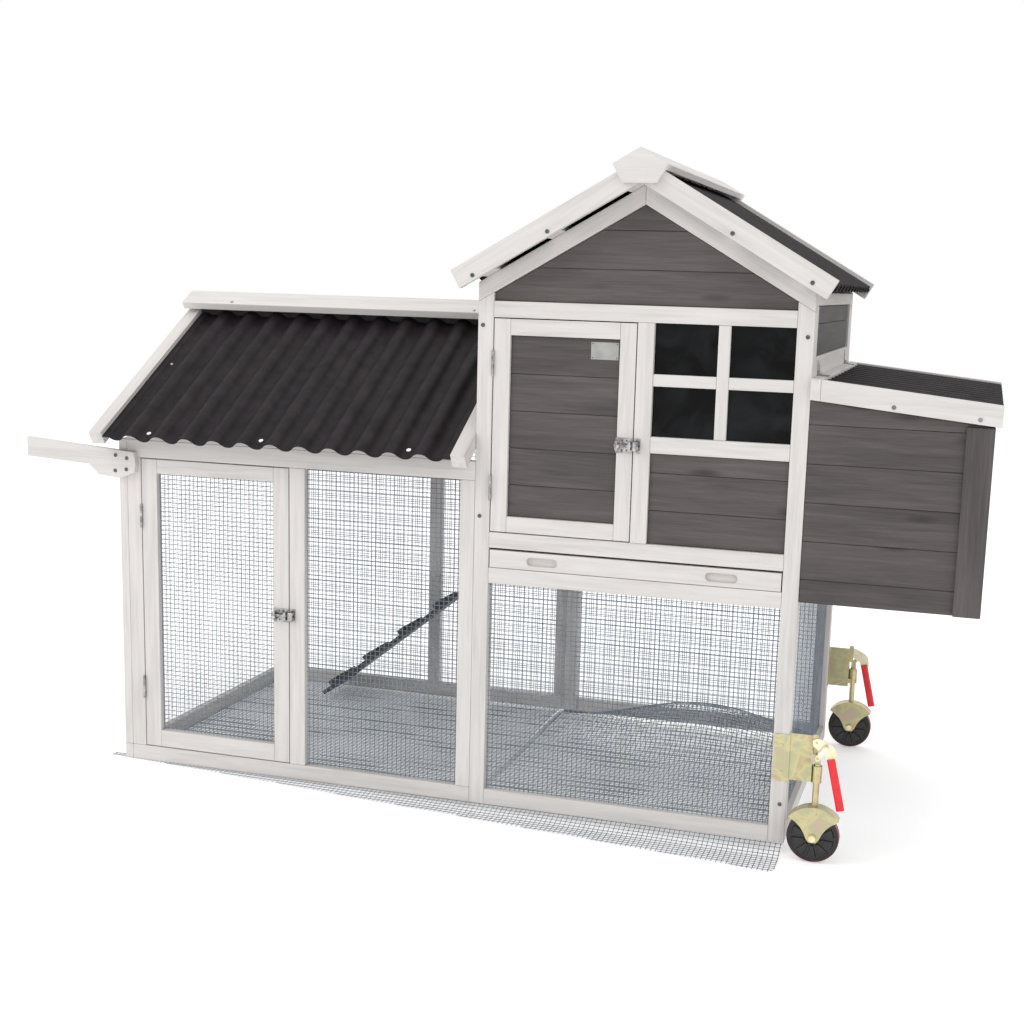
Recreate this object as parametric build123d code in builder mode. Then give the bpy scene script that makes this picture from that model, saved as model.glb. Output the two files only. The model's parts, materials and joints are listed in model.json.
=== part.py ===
"""Movable timber chicken coop: gabled run, raised house, nest box, and two drop-down wheel sets."""
from math import cos, radians, sin, tan
import os

from build123d import *

os.makedirs("parts", exist_ok=True)

# ---------------------------------------------------------------- driving dimensions, millimetres
depth = 938.0            # front face to back face of the timber frame
run_width = 1022.0       # left end of the run to the house
house_width = 824.0      # outside of the house posts
lid_reach = 2280.0       # left end of the run to the low edge of the nest lid
handle_reach = 277.0     # how far the carry handles stand out to the left
apron_reach = 130.0      # how far the wire apron lies out in front
roof_rear = 1002.0       # front face of the frame to the rear edge of the house roof
cap_rear = 1030.0        # front face of the frame to the rear of the ridge end cap
drop = 25.5              # how far the lowered wheels reach below the frame

timber = 40.0            # face width of posts and rails
stock = 24.0             # thickness of the flat frame timber
joint = 0.3              # joint line between two pieces that butt together
board = 12.0             # thickness of the tongue and groove boards
board_pitch = 92.4       # cover width of one board
mesh = 1.0               # thickness of a welded wire panel

left = (handle_reach - lid_reach) / 2
front = (apron_reach - cap_rear) / 2
base = drop

house_left = run_width
house_right = run_width + house_width
ridge_x = (house_left + house_right) / 2

sill_top = 41.0          # top of the bottom rails
tray_rail_top = 630.0
tray_top = 676.0
floor_rail_top = 721.5
window_sill_top = 985.5
gable_rail_bottom = 1258.0
gable_rail_top = 1298.0
run_rail_bottom = 850.0
run_rail_top = 898.0

house_pitch = 30.0
rafter_apex = 1580.0     # where the outer edges of the house rafters meet
rafter = 40.0
barge_height = 50.0
barge = 18.0
house_slope = 510.0      # slope length of the house roof from the rafter apex
roof_front = -59.0

run_pitch = 31.0
run_ridge_y = depth / 2
run_ridge_top = 1251.6   # where the upper edges of the run barge boards meet
run_eave = -82.0         # front edge of the run roof

door_gap = 2.5
door_left = 65.3         # right edge of the stile that carries the run door
mid_left = 507.0
mid_right = 551.0
run_stile = 983.0
wheel_x = 1918.0
wheel_y = -18.0
axle_z = 38.0
wheel_radius = drop + axle_z


# ---------------------------------------------------------------- helpers
def level(z):
    """Horizontal plane at height z above the underside of the frame."""
    return Plane((left, front, base + z))


def across(y):
    """Upright plane facing the front, local x to the right and local y up."""
    return Plane((left, front + y, base), x_dir=(1, 0, 0), z_dir=(0, -1, 0))


def along(x):
    """Upright plane facing the right end, local x to the back and local y up."""
    return Plane((left + x, front, base), x_dir=(0, 1, 0), z_dir=(1, 0, 0))


def bar(x0, x1, y0, y1, z0, z1):
    """Square-cut timber between two corners, added to the open part."""
    with BuildSketch(level(z0)) as outline:
        with Locations(((x0 + x1) / 2, (y0 + y1) / 2)):
            Rectangle(x1 - x0, y1 - y0)
    extrude(outline.sketch, amount=z1 - z0)


def panel(points, y0, y1):
    """Flat piece with an outline in the XZ plane, from y0 back to y1."""
    with BuildSketch(across(y1)) as outline:
        with BuildLine():
            Polyline(*points, close=True)
        make_face()
    extrude(outline.sketch, amount=y1 - y0)


def side_panel(points, x0, x1):
    """Flat piece with an outline in the YZ plane, from x0 to x1."""
    with BuildSketch(along(x0)) as outline:
        with BuildLine():
            Polyline(*points, close=True)
        make_face()
    extrude(outline.sketch, amount=x1 - x0)


def rod(plane, radius, length):
    """Round rod along the plane's normal, centred on its origin."""
    with BuildSketch(plane) as outline:
        Circle(radius)
    extrude(outline.sketch, amount=length / 2, both=True)


def bolt_heads(plane, points, radius, length):
    """Dome-headed bolts standing out of the plane."""
    for point in points:
        with BuildSketch(plane) as outline:
            with Locations(point):
                Circle(radius)
        extrude(outline.sketch, amount=length)


def save(builder, name):
    """Label one finished node and write its STEP file."""
    builder.part.label = name
    export_step(builder.part, f"parts/{name}.step")


def house_point(s, n, side):
    """XZ point at slope distance s and height n above a rafter's outer edge."""
    angle = radians(house_pitch)
    x = s * cos(angle) + n * sin(angle)
    return ridge_x + side * x, rafter_apex - s * sin(angle) + n * cos(angle)


def house_plank(s0, s1, n0, n1, y0, y1, side):
    """Piece lying along one slope of the house roof; s0 of None mitres it at the ridge."""
    lean = tan(radians(house_pitch))
    low = s0 if s0 is not None else -n0 * lean + joint
    high = s0 if s0 is not None else -n1 * lean + joint
    points = [(low, n0), (s1, n0), (s1, n1), (high, n1)]
    panel([house_point(s, n, side) for s, n in points], y0, y1)


def run_point(s, n, side):
    """YZ point at slope distance s and height n above the run barge boards' upper edge."""
    angle = radians(run_pitch)
    y = s * cos(angle) + n * sin(angle)
    return run_ridge_y + side * y, run_ridge_top - s * sin(angle) + n * cos(angle)


def run_plank(s0, s1, n0, n1, x0, x1, side):
    """Piece lying along one slope of the run roof; s0 of None mitres it at the ridge."""
    lean = tan(radians(run_pitch))
    low = s0 if s0 is not None else -n0 * lean + joint
    high = s0 if s0 is not None else -n1 * lean + joint
    points = [(low, n0), (s1, n0), (s1, n1), (high, n1)]
    side_panel([run_point(s, n, side) for s, n in points], x0, x1)


def wavy_sheet(plane, width, pitch, height, thickness, length, flange=0.0):
    """Corrugated sheet: waves along the plane's x axis, with flat side edges as wide as flange."""
    halves = round(2 * (width - 2 * flange) / pitch)
    half = (width - 2 * flange) / halves
    with BuildSketch(plane) as outline:
        with BuildLine():
            for edge in (0.0, thickness):
                for i in range(halves):
                    rise = height / 2 if i % 2 else -height / 2
                    ThreePointArc(
                        (flange + i * half, edge),
                        (flange + (i + 0.5) * half, edge + rise),
                        (flange + (i + 1) * half, edge),
                    )
                if flange:
                    Line((0, edge), (flange, edge))
                    Line((width - flange, edge), (width, edge))
            Line((0, 0), (0, thickness))
            Line((width, 0), (width, thickness))
        make_face()
    extrude(outline.sketch, amount=length)


def board_rows(bottom, top, first_groove):
    """Heights of the boards that fill an opening, cut at its grooves."""
    edges = [bottom]
    groove = first_groove
    while groove < top - 8:
        if groove > bottom + 8:
            edges.append(groove)
        groove += board_pitch
    edges.append(top)
    return list(zip(edges[:-1], edges[1:]))


def grooved_boards(x0, x1, y0, y1, bottom, top, first_groove):
    """Stack of horizontal boards with a chamfered joint line between them."""
    for z0, z1 in board_rows(bottom, top, first_groove):
        bar(x0, x1, y0, y1, z0 + joint / 2, z1 - joint / 2)


# ---------------------------------------------------------------- house frame
def house_end_frame(y0, y1, face):
    """Posts, rafters and the rails common to the front and back of the house."""
    post_y = (y0, y0 + timber) if face == "front" else (y1 - timber, y1)
    drop_at_post = (house_width / 2) * tan(radians(house_pitch))
    under_apex = rafter_apex - rafter / cos(radians(house_pitch))
    for side in (-1, 1):
        outer = ridge_x + side * house_width / 2
        inner = outer - side * timber
        rise = timber * tan(radians(house_pitch))
        post_top = under_apex - drop_at_post - joint
        points = [(outer, 0), (inner, 0), (inner, post_top + rise), (outer, post_top)]
        panel(points, *post_y)
        rafter_points = [
            (ridge_x + side * joint / 2, under_apex),
            (ridge_x + side * joint / 2, rafter_apex),
            (outer, rafter_apex - drop_at_post),
            (outer, under_apex - drop_at_post),
        ]
        panel(rafter_points, y0, y1)
    inside = (house_left + timber + joint, house_right - timber - joint)
    bar(*inside, y0, y1, 0, sill_top)
    bar(*inside, y0, y1, tray_rail_top - timber, tray_rail_top)
    bar(*inside, y0, y1, gable_rail_bottom, gable_rail_top)


stile_left = 1427.0
stile_right = 1468.0
inner_left = house_left + timber + joint
inner_right = house_right - timber - joint

with BuildPart() as house_front_frame:
    house_end_frame(0, stock, "front")
    bar(inner_left, inner_right, 0, stock, floor_rail_top - timber, floor_rail_top)
    bar(stile_left, stile_right, 0, stock, floor_rail_top + joint, gable_rail_bottom - joint)
    bar(stile_right + joint, inner_right, 0, stock, window_sill_top - timber, window_sill_top)
save(house_front_frame, "house_front_frame")

with BuildPart() as house_back_frame:
    house_end_frame(depth - stock, depth, "back")
save(house_back_frame, "house_back_frame")

post_in = timber + joint
side_stile = 74.0
nest_rail_bottom = 1100.0
nest_rail_top = 1190.0
side_top = 1340.0
side_rail_bottom = 1310.0
wall_top = side_rail_bottom - joint

with BuildPart() as house_side_rails:
    back_end = depth - post_in
    for x0 in (house_left, house_right - stock):
        bar(x0, x0 + stock, post_in, back_end, tray_rail_top - timber, tray_rail_top)
        bar(x0, x0 + stock, stock + joint, depth - stock - joint, side_rail_bottom, side_top)
    for x0 in (inner_left, inner_right - stock):
        runner_y = (stock + joint, depth - stock - joint)
        bar(x0, x0 + stock, *runner_y, tray_rail_top - stock, tray_rail_top)
    wall_x = (house_right - stock, house_right)
    bar(*wall_x, post_in, back_end, 0, sill_top)
    bar(*wall_x, post_in, side_stile, tray_rail_top + joint, wall_top)
    bar(*wall_x, depth - side_stile, back_end, tray_rail_top + joint, wall_top)
    bar(*wall_x, side_stile + joint, depth - side_stile - joint, nest_rail_bottom, nest_rail_top)
save(house_side_rails, "house_side_rails")

# ---------------------------------------------------------------- house walls
board_front = 9.0
gable_groove = 1380.7


def gable_boards(y0):
    """Horizontal boards that fill the gable under the rafters."""
    lean = tan(radians(house_pitch))
    apex = rafter_apex - (rafter + joint) / cos(radians(house_pitch))
    half = house_width / 2 - timber - joint
    for z0, z1 in board_rows(gable_rail_top + joint, apex, gable_groove):
        low = min(half, (apex - z0) / lean)
        high = max(0.0, (apex - z1) / lean - joint)
        shoulder = apex - low * lean
        points = [(ridge_x - low, z0 + joint / 2), (ridge_x + low, z0 + joint / 2)]
        if shoulder > z0 + 1:
            points.append((ridge_x + low, shoulder))
        points.append((ridge_x + high, z1 - joint / 2))
        if high > 1:
            points.append((ridge_x - high, z1 - joint / 2))
        if shoulder > z0 + 1:
            points.append((ridge_x - low, shoulder))
        panel(points, y0, y0 + board)


with BuildPart() as front_wall_boards:
    gable_boards(board_front)
    sill_under = window_sill_top - timber - joint
    panel_x = (stile_right + joint, inner_right)
    panel_y = (board_front, board_front + board)
    grooved_boards(*panel_x, *panel_y, floor_rail_top + joint, sill_under, 805.0)
save(front_wall_boards, "front_wall_boards")

with BuildPart() as back_wall_boards:
    back_y = depth - board_front - board
    wall_z = (tray_rail_top + joint, gable_rail_bottom - joint)
    grooved_boards(inner_left, inner_right, back_y, back_y + board, *wall_z, 712.0)
    gable_boards(back_y)
save(back_wall_boards, "back_wall_boards")

pop_front = 735.0
pop_top = 945.0

with BuildPart() as side_wall_boards:
    left_x = (house_left + 6, house_left + 6 + board)
    left_rows = (tray_rail_top + joint, wall_top, 712.0)
    grooved_boards(*left_x, post_in, pop_front, *left_rows)
    grooved_boards(*left_x, pop_front + joint, depth - post_in, pop_top, wall_top, 1009.0)
    right_x = (house_right - 6 - board, house_right - 6)
    right_y = (side_stile + joint, depth - side_stile - joint)
    grooved_boards(*right_x, *right_y, nest_rail_top + joint, wall_top, 1266.0)
save(side_wall_boards, "side_wall_boards")

pane_front = 13.0
with BuildPart() as window_pane:
    pane_z = (window_sill_top + joint, gable_rail_bottom - joint)
    bar(stile_right + joint, inner_right, pane_front, pane_front + 3, *pane_z)
save(window_pane, "window_pane")

muntin = 29.0
muntin_x = (stile_right + house_right - timber) / 2
muntin_z = (window_sill_top + gable_rail_bottom) / 2
with BuildPart() as window_muntins:
    muntin_y = (2.0, pane_front - joint)
    upright = (muntin_x - muntin / 2, muntin_x + muntin / 2)
    bar(*upright, *muntin_y, window_sill_top + joint, gable_rail_bottom - joint)
    for x0, x1 in ((stile_right, upright[0]), (upright[1], inner_right + joint)):
        bar(x0 + joint, x1 - joint, *muntin_y, muntin_z - muntin / 2, muntin_z + muntin / 2)
save(window_muntins, "window_muntins")

# ---------------------------------------------------------------- house roof
purlin = 19.5            # height of the battens under the sheets
purlin_width = 38.0
purlin_rear = roof_rear - barge - joint
sheet_clearance = 0.5
wave_pitch = 82.0        # distance between two crests of the corrugated sheet
wave_height = 19.0
sheet = 2.5

with BuildPart() as roof_purlins:
    for side in (-1, 1):
        for s0 in (2.0, 225.0, house_slope - purlin_width - 60):
            y0 = roof_front + barge + joint
            house_plank(s0, s0 + purlin_width, joint, purlin, y0, purlin_rear, side)
    ridge_beam = (run_ridge_y - 18, run_ridge_y + 18)
    beam_x = (stock + joint, run_stile - stock - joint)
    bar(*beam_x, *ridge_beam, 1168, 1208)
    for y0 in (0.0, depth - stock):
        bar(*beam_x, y0, y0 + stock, run_rail_top + joint, 940)
save(roof_purlins, "roof_purlins")

with BuildPart() as house_roof_sheets:
    angle = radians(house_pitch)
    sheet_n = purlin + sheet_clearance + wave_height / 2
    sheet_y0 = roof_front + barge + joint
    sheet_width = roof_rear - barge - joint - sheet_y0
    for side in (-1, 1):
        start_y = sheet_y0 if side > 0 else sheet_y0 + sheet_width
        x, z = house_point(10 - sheet_n * tan(angle), sheet_n, side)
        slope = Plane(
            (left + x, front + start_y, base + z),
            x_dir=(0, side, 0),
            z_dir=(side * cos(angle), 0, -sin(angle)),
        )
        length = house_slope - 10 + sheet_n * tan(angle) - 2
        wavy_sheet(slope, sheet_width, wave_pitch, wave_height, sheet, length)
save(house_roof_sheets, "house_roof_sheets")

with BuildPart() as house_barge_boards:
    for y0 in (roof_front, roof_rear - barge):
        for side in (-1, 1):
            house_plank(None, house_slope, joint, barge_height, y0, y0 + barge, side)
save(house_barge_boards, "house_barge_boards")

cap_under = barge_height + 2.5
cap = 16.0
cap_s = 37.0
end_cap = 16.0
cap_end = cap_rear - end_cap
run_cap = 22.0
run_cap_under = 13.7

with BuildPart() as ridge_caps:
    for side in (-1, 1):
        house_plank(None, cap_s, cap_under, cap_under + cap, roof_front, cap_end - joint, side)
    for y0 in (roof_front - end_cap - joint, cap_end):
        corner = house_point(cap_s, 18, 1)
        shoulder = house_point(cap_s, cap_under + cap, 1)
        peak = house_point(-(cap_under + cap) * tan(radians(house_pitch)), cap_under + cap, 1)
        points = [(corner[0], corner[1]), shoulder, peak]
        points.append((2 * ridge_x - shoulder[0], shoulder[1]))
        points.append((2 * ridge_x - corner[0], corner[1]))
        panel(points, y0, y0 + end_cap)
    for side in (-1, 1):
        cap_x = (-42.0, run_width - joint)
        run_plank(None, 46, run_cap_under, run_cap_under + run_cap, *cap_x, side)
save(ridge_caps, "ridge_caps")

# ---------------------------------------------------------------- run frame
run_end = run_width - joint

with BuildPart() as run_front_frame:
    bar(stock + joint, run_end, 0, stock, run_rail_bottom, run_rail_top)
    bar(stock + joint, run_end, 0, stock, 0, sill_top)
    upright_z = (sill_top + joint, run_rail_bottom - joint)
    bar(stock + joint, door_left, 0, stock, *upright_z)
    bar(mid_left, mid_right, 0, stock, *upright_z)
    bar(run_stile, run_end, 0, stock, *upright_z)
save(run_front_frame, "run_front_frame")

with BuildPart() as run_back_frame:
    y0 = depth - stock
    bar(stock + joint, run_end, y0, depth, run_rail_bottom, run_rail_top)
    bar(stock + joint, run_end, y0, depth, 0, sill_top)
    for x0 in (stock + joint, mid_right, run_stile):
        bar(x0, min(x0 + timber, run_end), y0, depth, sill_top + joint, run_rail_bottom - joint)
save(run_back_frame, "run_back_frame")

rafter_top = -24.5       # upper edge of the run rafters, below the barge boards' upper edge
rafter_low = rafter_top - 36
run_slope = (run_ridge_y - run_eave) / cos(radians(run_pitch))
rafter_length = run_ridge_y / cos(radians(run_pitch)) + rafter_low * tan(radians(run_pitch))

with BuildPart() as run_end_frame:
    bar(0, stock, 0, depth, 0, sill_top)
    bar(0, stock, 0, depth, run_rail_bottom, run_rail_top)
    for y0 in (0.0, depth - timber):
        bar(0, stock, y0, y0 + timber, sill_top + joint, run_rail_bottom - joint)
    for x0 in (0.0, run_stile - stock):
        for side in (-1, 1):
            run_plank(None, rafter_length, rafter_low, rafter_top, x0, x0 + stock, side)
save(run_end_frame, "run_end_frame")

# ---------------------------------------------------------------- run roof
run_barge = 38.0
run_flange = 20.5        # flat side edge of the run's sheets
run_start = 15.5         # slope distance from the ridge to the sheets' upper edge
run_length = run_slope - run_start

with BuildPart() as run_barge_boards:
    groove_top = -run_barge
    for x0 in (-40.0, 983.5):
        for side in (-1, 1):
            run_plank(None, run_slope, groove_top, 0, x0, x0 + run_barge, side)
save(run_barge_boards, "run_barge_boards")

with BuildPart() as run_roof_sheets:
    angle = radians(run_pitch)
    sheet_n = rafter_top + 0.8 + wave_height / 2
    sheet_x0 = -40 + run_barge + joint
    sheet_width = 983.5 - joint - sheet_x0
    for side in (-1, 1):
        start_x = sheet_x0 if side < 0 else sheet_x0 + sheet_width
        y, z = run_point(run_start, sheet_n, side)
        slope = Plane(
            (left + start_x, front + y, base + z),
            x_dir=(-side, 0, 0),
            z_dir=(0, side * cos(angle), -sin(angle)),
        )
        wavy_sheet(slope, sheet_width, wave_pitch, wave_height, sheet, run_length, run_flange)
save(run_roof_sheets, "run_roof_sheets")

# ---------------------------------------------------------------- wire mesh panels
mesh_y = 15.0
with BuildPart() as run_wire_mesh:
    panel_z = (sill_top + joint, run_rail_bottom - joint)
    bar(mid_right + joint, run_stile - joint, mesh_y, mesh_y + mesh, *panel_z)
    back = (depth - mesh_y - mesh, depth - mesh_y)
    bar(stock + timber + 2 * joint, mid_right - joint, *back, *panel_z)
    bar(mid_right + timber + joint, run_stile - joint, *back, *panel_z)
    end_x = (stock - mesh_y - mesh + 6, stock - mesh_y + 6)
    bar(*end_x, timber + joint, depth - timber - joint, *panel_z)
    gable_top = run_ridge_top + (rafter_low - joint) / cos(radians(run_pitch))
    gable_half = (gable_top - run_rail_top - joint) / tan(radians(run_pitch))
    points = [
        (run_ridge_y - gable_half, run_rail_top + joint),
        (run_ridge_y + gable_half, run_rail_top + joint),
        (run_ridge_y, gable_top),
    ]
    side_panel(points, *end_x)
save(run_wire_mesh, "run_wire_mesh")

with BuildPart() as house_wire_mesh:
    low_z = (sill_top + joint, tray_rail_top - timber - joint)
    bar(inner_left, inner_right, mesh_y, mesh_y + mesh, *low_z)
    bar(inner_left, inner_right, depth - mesh_y - mesh, depth - mesh_y, *low_z)
    bar(house_right - mesh_y, house_right - mesh_y + mesh, post_in, depth - post_in, *low_z)
save(house_wire_mesh, "house_wire_mesh")

floor_z = 3.0
with BuildPart() as floor_wire_mesh:
    inner_y = (stock + joint, depth - stock - joint)
    bar(stock + joint, house_left - 8, *inner_y, floor_z, floor_z + mesh)
    house_y = (timber + joint, depth - timber - joint)
    bar(house_left + 8, house_right - stock - joint, *house_y, floor_z, floor_z + mesh)
save(floor_wire_mesh, "floor_wire_mesh")

with BuildPart() as apron_mesh:
    with BuildSketch(level(-mesh - joint)):
        with BuildLine():
            Polyline(
                (-46, stock),
                (-46, 4),
                (house_right - 16, -apron_reach),
                (house_right - 8, -apron_reach),
                (house_right - 2, stock),
                close=True,
            )
        make_face()
    extrude(amount=mesh)
save(apron_mesh, "apron_mesh")

# ---------------------------------------------------------------- ramp and perch
ramp_pitch = 38.9
ramp_low_x = 262.0
ramp_foot = 13.0
ramp_y = (738.0, 908.0)
ramp_board = 12.0
ramp_top_x = house_left - 4
cleat_pitch = 151.6

with BuildPart() as ramp:
    angle = radians(ramp_pitch)
    length = (ramp_top_x - ramp_low_x) / cos(angle)
    foot = Plane(
        (left + ramp_low_x, front + ramp_y[1], base + ramp_foot),
        x_dir=(cos(angle), 0, sin(angle)),
        z_dir=(0, -1, 0),
    )
    with BuildSketch(foot):
        with Locations((length / 2, ramp_board / 2)):
            Rectangle(length, ramp_board)
    extrude(amount=ramp_y[1] - ramp_y[0])
    count = int((length - 80) / cleat_pitch) + 1
    for i in range(count):
        with BuildSketch(foot):
            with Locations((50 + i * cleat_pitch, ramp_board + joint + 7)):
                Rectangle(24, 14)
        extrude(amount=ramp_y[1] - ramp_y[0])
save(ramp, "ramp")

with BuildPart() as perch:
    bar(1431, 1465, stock + joint, depth - board_front - board - joint, 790, 824)
    fillet(perch.edges().filter_by(Axis.Y), radius=8)
save(perch, "perch")

# ---------------------------------------------------------------- nest box
nest_bottom = 609.0
nest_wall_x = 2240.0
trim_x = (2203.0, 2266.0)
lid_hinge_x = house_right + 2.0
lid_top = 1145.0
lid_fall = 0.0972
nest_inner = house_right + joint


def lid_height(x):
    """Height of the lid's upper edge at x."""
    return lid_top - lid_fall * (x - house_right)


def nest_side(y0):
    """One end wall of the nest box in boards, its top following the lid."""
    under = 51.5
    rows = board_rows(nest_bottom, lid_height(nest_inner) - under, 666.0)
    right_edge = nest_wall_x + board
    for z0, z1 in rows:
        top_left = min(z1, lid_height(nest_inner) - under) - joint / 2
        top_right = min(z1, lid_height(right_edge) - under) - joint / 2
        bottom = z0 + joint / 2
        if top_right > bottom + 4:
            points = [(nest_inner, bottom), (right_edge, bottom)]
            points += [(right_edge, top_right), (nest_inner, top_left)]
            panel(points, y0, y0 + board)
        else:
            reach = nest_inner + (top_left - bottom - 3) / lid_fall
            points = [(nest_inner, bottom), (reach, bottom), (nest_inner, top_left)]
            panel(points, y0, y0 + board)


with BuildPart() as nest_box_shell:
    nest_side(2)
    nest_side(depth - 2 - board)
    nest_y = (2 + board + joint, depth - 2 - board - joint)
    end_x = (nest_wall_x, nest_wall_x + board)
    grooved_boards(*end_x, *nest_y, nest_bottom, lid_height(nest_wall_x + board) - 51.5, 666.0)
    bar(nest_inner, nest_wall_x - joint, *nest_y, nest_bottom, nest_bottom + 12)
    for y0 in (depth / 3, 2 * depth / 3):
        divider_top = (nest_bottom + 12 + joint, nest_bottom + 360)
        bar(nest_inner + 4, nest_wall_x - joint, y0, y0 + 12, *divider_top)
save(nest_box_shell, "nest_box_shell")

with BuildPart() as nest_corner_trims:
    trim_top = lid_height(trim_x[1]) - 54
    for y0, y1 in ((-10.0, 2 - joint), (depth - 2 + joint, depth + 10)):
        bar(*trim_x, y0, y1, nest_bottom, trim_top)
    outer_x = (nest_wall_x + board + joint, trim_x[1])
    for y0 in (2.0, depth - 62):
        bar(*outer_x, y0, y0 + 60, nest_bottom, trim_top)
save(nest_corner_trims, "nest_corner_trims")

lid_board = 50.0
lid_front = -21.0
lid_side = 18.0
rail_width = 24.0
lid_start = house_right + joint + 0.7


def lid_piece(x0, x1, y0, y1, below0, below1):
    """Piece of the lid between two depths below its upper edge."""
    points = [
        (x0, lid_height(x0) - below1),
        (x1, lid_height(x1) - below1),
        (x1, lid_height(x1) - below0),
        (x0, lid_height(x0) - below0),
    ]
    panel(points, y0, y1)


with BuildPart() as nest_lid_frame:
    lid_back = depth - lid_front
    rail_x = (lid_start, lid_start + rail_width)
    lid_piece(*rail_x, lid_front, lid_back, 0, lid_board)
    for y0 in (lid_front, lid_back - lid_side):
        lid_piece(rail_x[1] + joint, lid_reach, y0, y0 + lid_side, 0, lid_board)
    inner_y = (lid_front + lid_side + joint, lid_back - lid_side - joint)
    lid_piece(lid_reach - 14, lid_reach - 1, *inner_y, 26, lid_board)
    lid_piece(rail_x[1] + joint, lid_reach - 14 - joint, *inner_y, 26, 35)
save(nest_lid_frame, "nest_lid_frame")

with BuildPart() as nest_lid_sheet:
    angle = radians(-5.55)
    start = rail_x[1] + 3
    lid_slope = Plane(
        (left + start, front + inner_y[1], base + lid_height(start) - 13.5),
        x_dir=(0, -1, 0),
        z_dir=(cos(angle), 0, sin(angle)),
    )
    lid_length = (lid_reach - 1 - start) / cos(angle)
    wavy_sheet(lid_slope, inner_y[1] - inner_y[0], wave_pitch, wave_height, sheet, lid_length)
save(nest_lid_sheet, "nest_lid_sheet")

# ---------------------------------------------------------------- tray
tray_x = (house_left + timber + 3, house_right - timber - 3)
slot_length = 80.0
slot_height = 22.0
slot_depth = 10.0

with BuildPart() as tray_front:
    bar(*tray_x, 0, 18, tray_rail_top + 1.5, tray_top)
    with BuildSketch(across(0)):
        with Locations((1203.0, 653.0), (1658.0, 653.0)):
            SlotOverall(slot_length, slot_height)
    extrude(amount=-slot_depth, mode=Mode.SUBTRACT)
save(tray_front, "tray_front")

with BuildPart() as tray_pan:
    pan_x = (house_left + timber + 8, house_right - timber - 8)
    pan_y = (18 + joint, depth - stock - 20)
    wall = 1.2
    bar(*pan_x, *pan_y, tray_rail_top + 0.6, tray_rail_top + 0.6 + wall)
    walls_z = (tray_rail_top + 0.6, tray_rail_top + 34)
    for x0 in (pan_x[0], pan_x[1] - wall):
        bar(x0, x0 + wall, *pan_y, *walls_z)
    for y0 in (pan_y[0], pan_y[1] - wall):
        bar(*pan_x, y0, y0 + wall, *walls_z)
save(tray_pan, "tray_pan")

# ---------------------------------------------------------------- hinges and latches
leaf = 1.8
knuckle = 3.9
door_knuckle = 3.4
door_leaf = 1.0          # thickness of the leaves folded into the gap beside a door
pin = 1.8
pin_fit = 0.05
bolt_radius = 5.0
bolt_height = 1.6
hinge_y = -4.0
hinge_height = 63.0
latch_y = -9.0
latch_half = 18.5
latch_bolt = 4.0
latch_travel = 16.0


def upright(x, y, z):
    """Horizontal plane centred on a vertical pin."""
    return Plane((left + x, front + y, base + z))


def knuckle_barrel(x, z0, z1, hole):
    """Vertical knuckle of a door hinge with its pin hole."""
    with BuildSketch(upright(x, hinge_y, z0)) as outline:
        Circle(door_knuckle)
        if hole:
            Circle(pin + pin_fit, mode=Mode.SUBTRACT)
    extrude(outline.sketch, amount=z1 - z0)


def fixed_leaf(x, z0):
    """Leaf let into the gap on the stile's side, with its two knuckles and the pin."""
    third = hinge_height / 3
    edge = x - door_gap / 2
    bar(edge, edge + door_leaf, 0, 22, z0, z0 + hinge_height)
    for lift in (0.0, 2 * third):
        knuckle_barrel(x, z0 + lift, z0 + lift + third, False)
        bar(edge, edge + door_leaf, -1.5, 0, z0 + lift, z0 + lift + third)
    with BuildSketch(upright(x, hinge_y, z0 + third)) as outline:
        Circle(pin)
    extrude(outline.sketch, amount=third)


def moving_leaf(x, z0):
    """Leaf let into the gap on the door's side, with the middle knuckle."""
    third = hinge_height / 3
    middle = (z0 + third + joint, z0 + 2 * third - joint)
    edge = x + door_gap / 2
    bar(edge - door_leaf, edge, 0, 22, z0, z0 + hinge_height)
    bar(edge - door_leaf, edge, -1.5, 0, *middle)
    knuckle_barrel(x, *middle, True)


def latch_straps(edge, z):
    """Base plate and two guides of a barrel latch at the door's free edge."""
    bar(edge - 42, edge - 1.5, -leaf, 0, z - latch_half, z + latch_half)
    for x0 in (edge - 41, edge - 9):
        with BuildSketch(along(x0)) as outline:
            with Locations(((latch_y - leaf) / 2 - 3.5, z)):
                Rectangle(-latch_y - leaf + 7, 22)
            with Locations((latch_y, z)):
                Circle(latch_bolt + 0.4, mode=Mode.SUBTRACT)
        extrude(outline.sketch, amount=7)


def latch_keeper(edge, z):
    """Keeper on the stile that receives the latch bolt."""
    bar(edge + 3.5, edge + 19.5, -leaf, 0, z - latch_half, z + latch_half)
    with BuildSketch(along(edge + 4.5)) as outline:
        with Locations(((latch_y - leaf) / 2 - 3.5, z)):
            Rectangle(-latch_y - leaf + 7, 22)
        with Locations((latch_y, z)):
            Circle(latch_bolt + 0.4, mode=Mode.SUBTRACT)
    extrude(outline.sketch, amount=13)


def sliding_bolt(edge, z):
    """Round latch bolt with a finger knob, drawn back from the keeper."""
    middle = edge - 22
    rod(Plane((left + middle, front + latch_y, base + z), z_dir=(1, 0, 0)), latch_bolt, 43)
    knob = Plane((left + edge - 30, front + latch_y, base + z), z_dir=(0, -1, 0))
    with BuildSketch(knob) as outline:
        Circle(2.5)
    extrude(outline.sketch, amount=14)
    with BuildSketch(knob.offset(14)) as outline:
        Circle(4)
    extrude(outline.sketch, amount=7)


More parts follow.
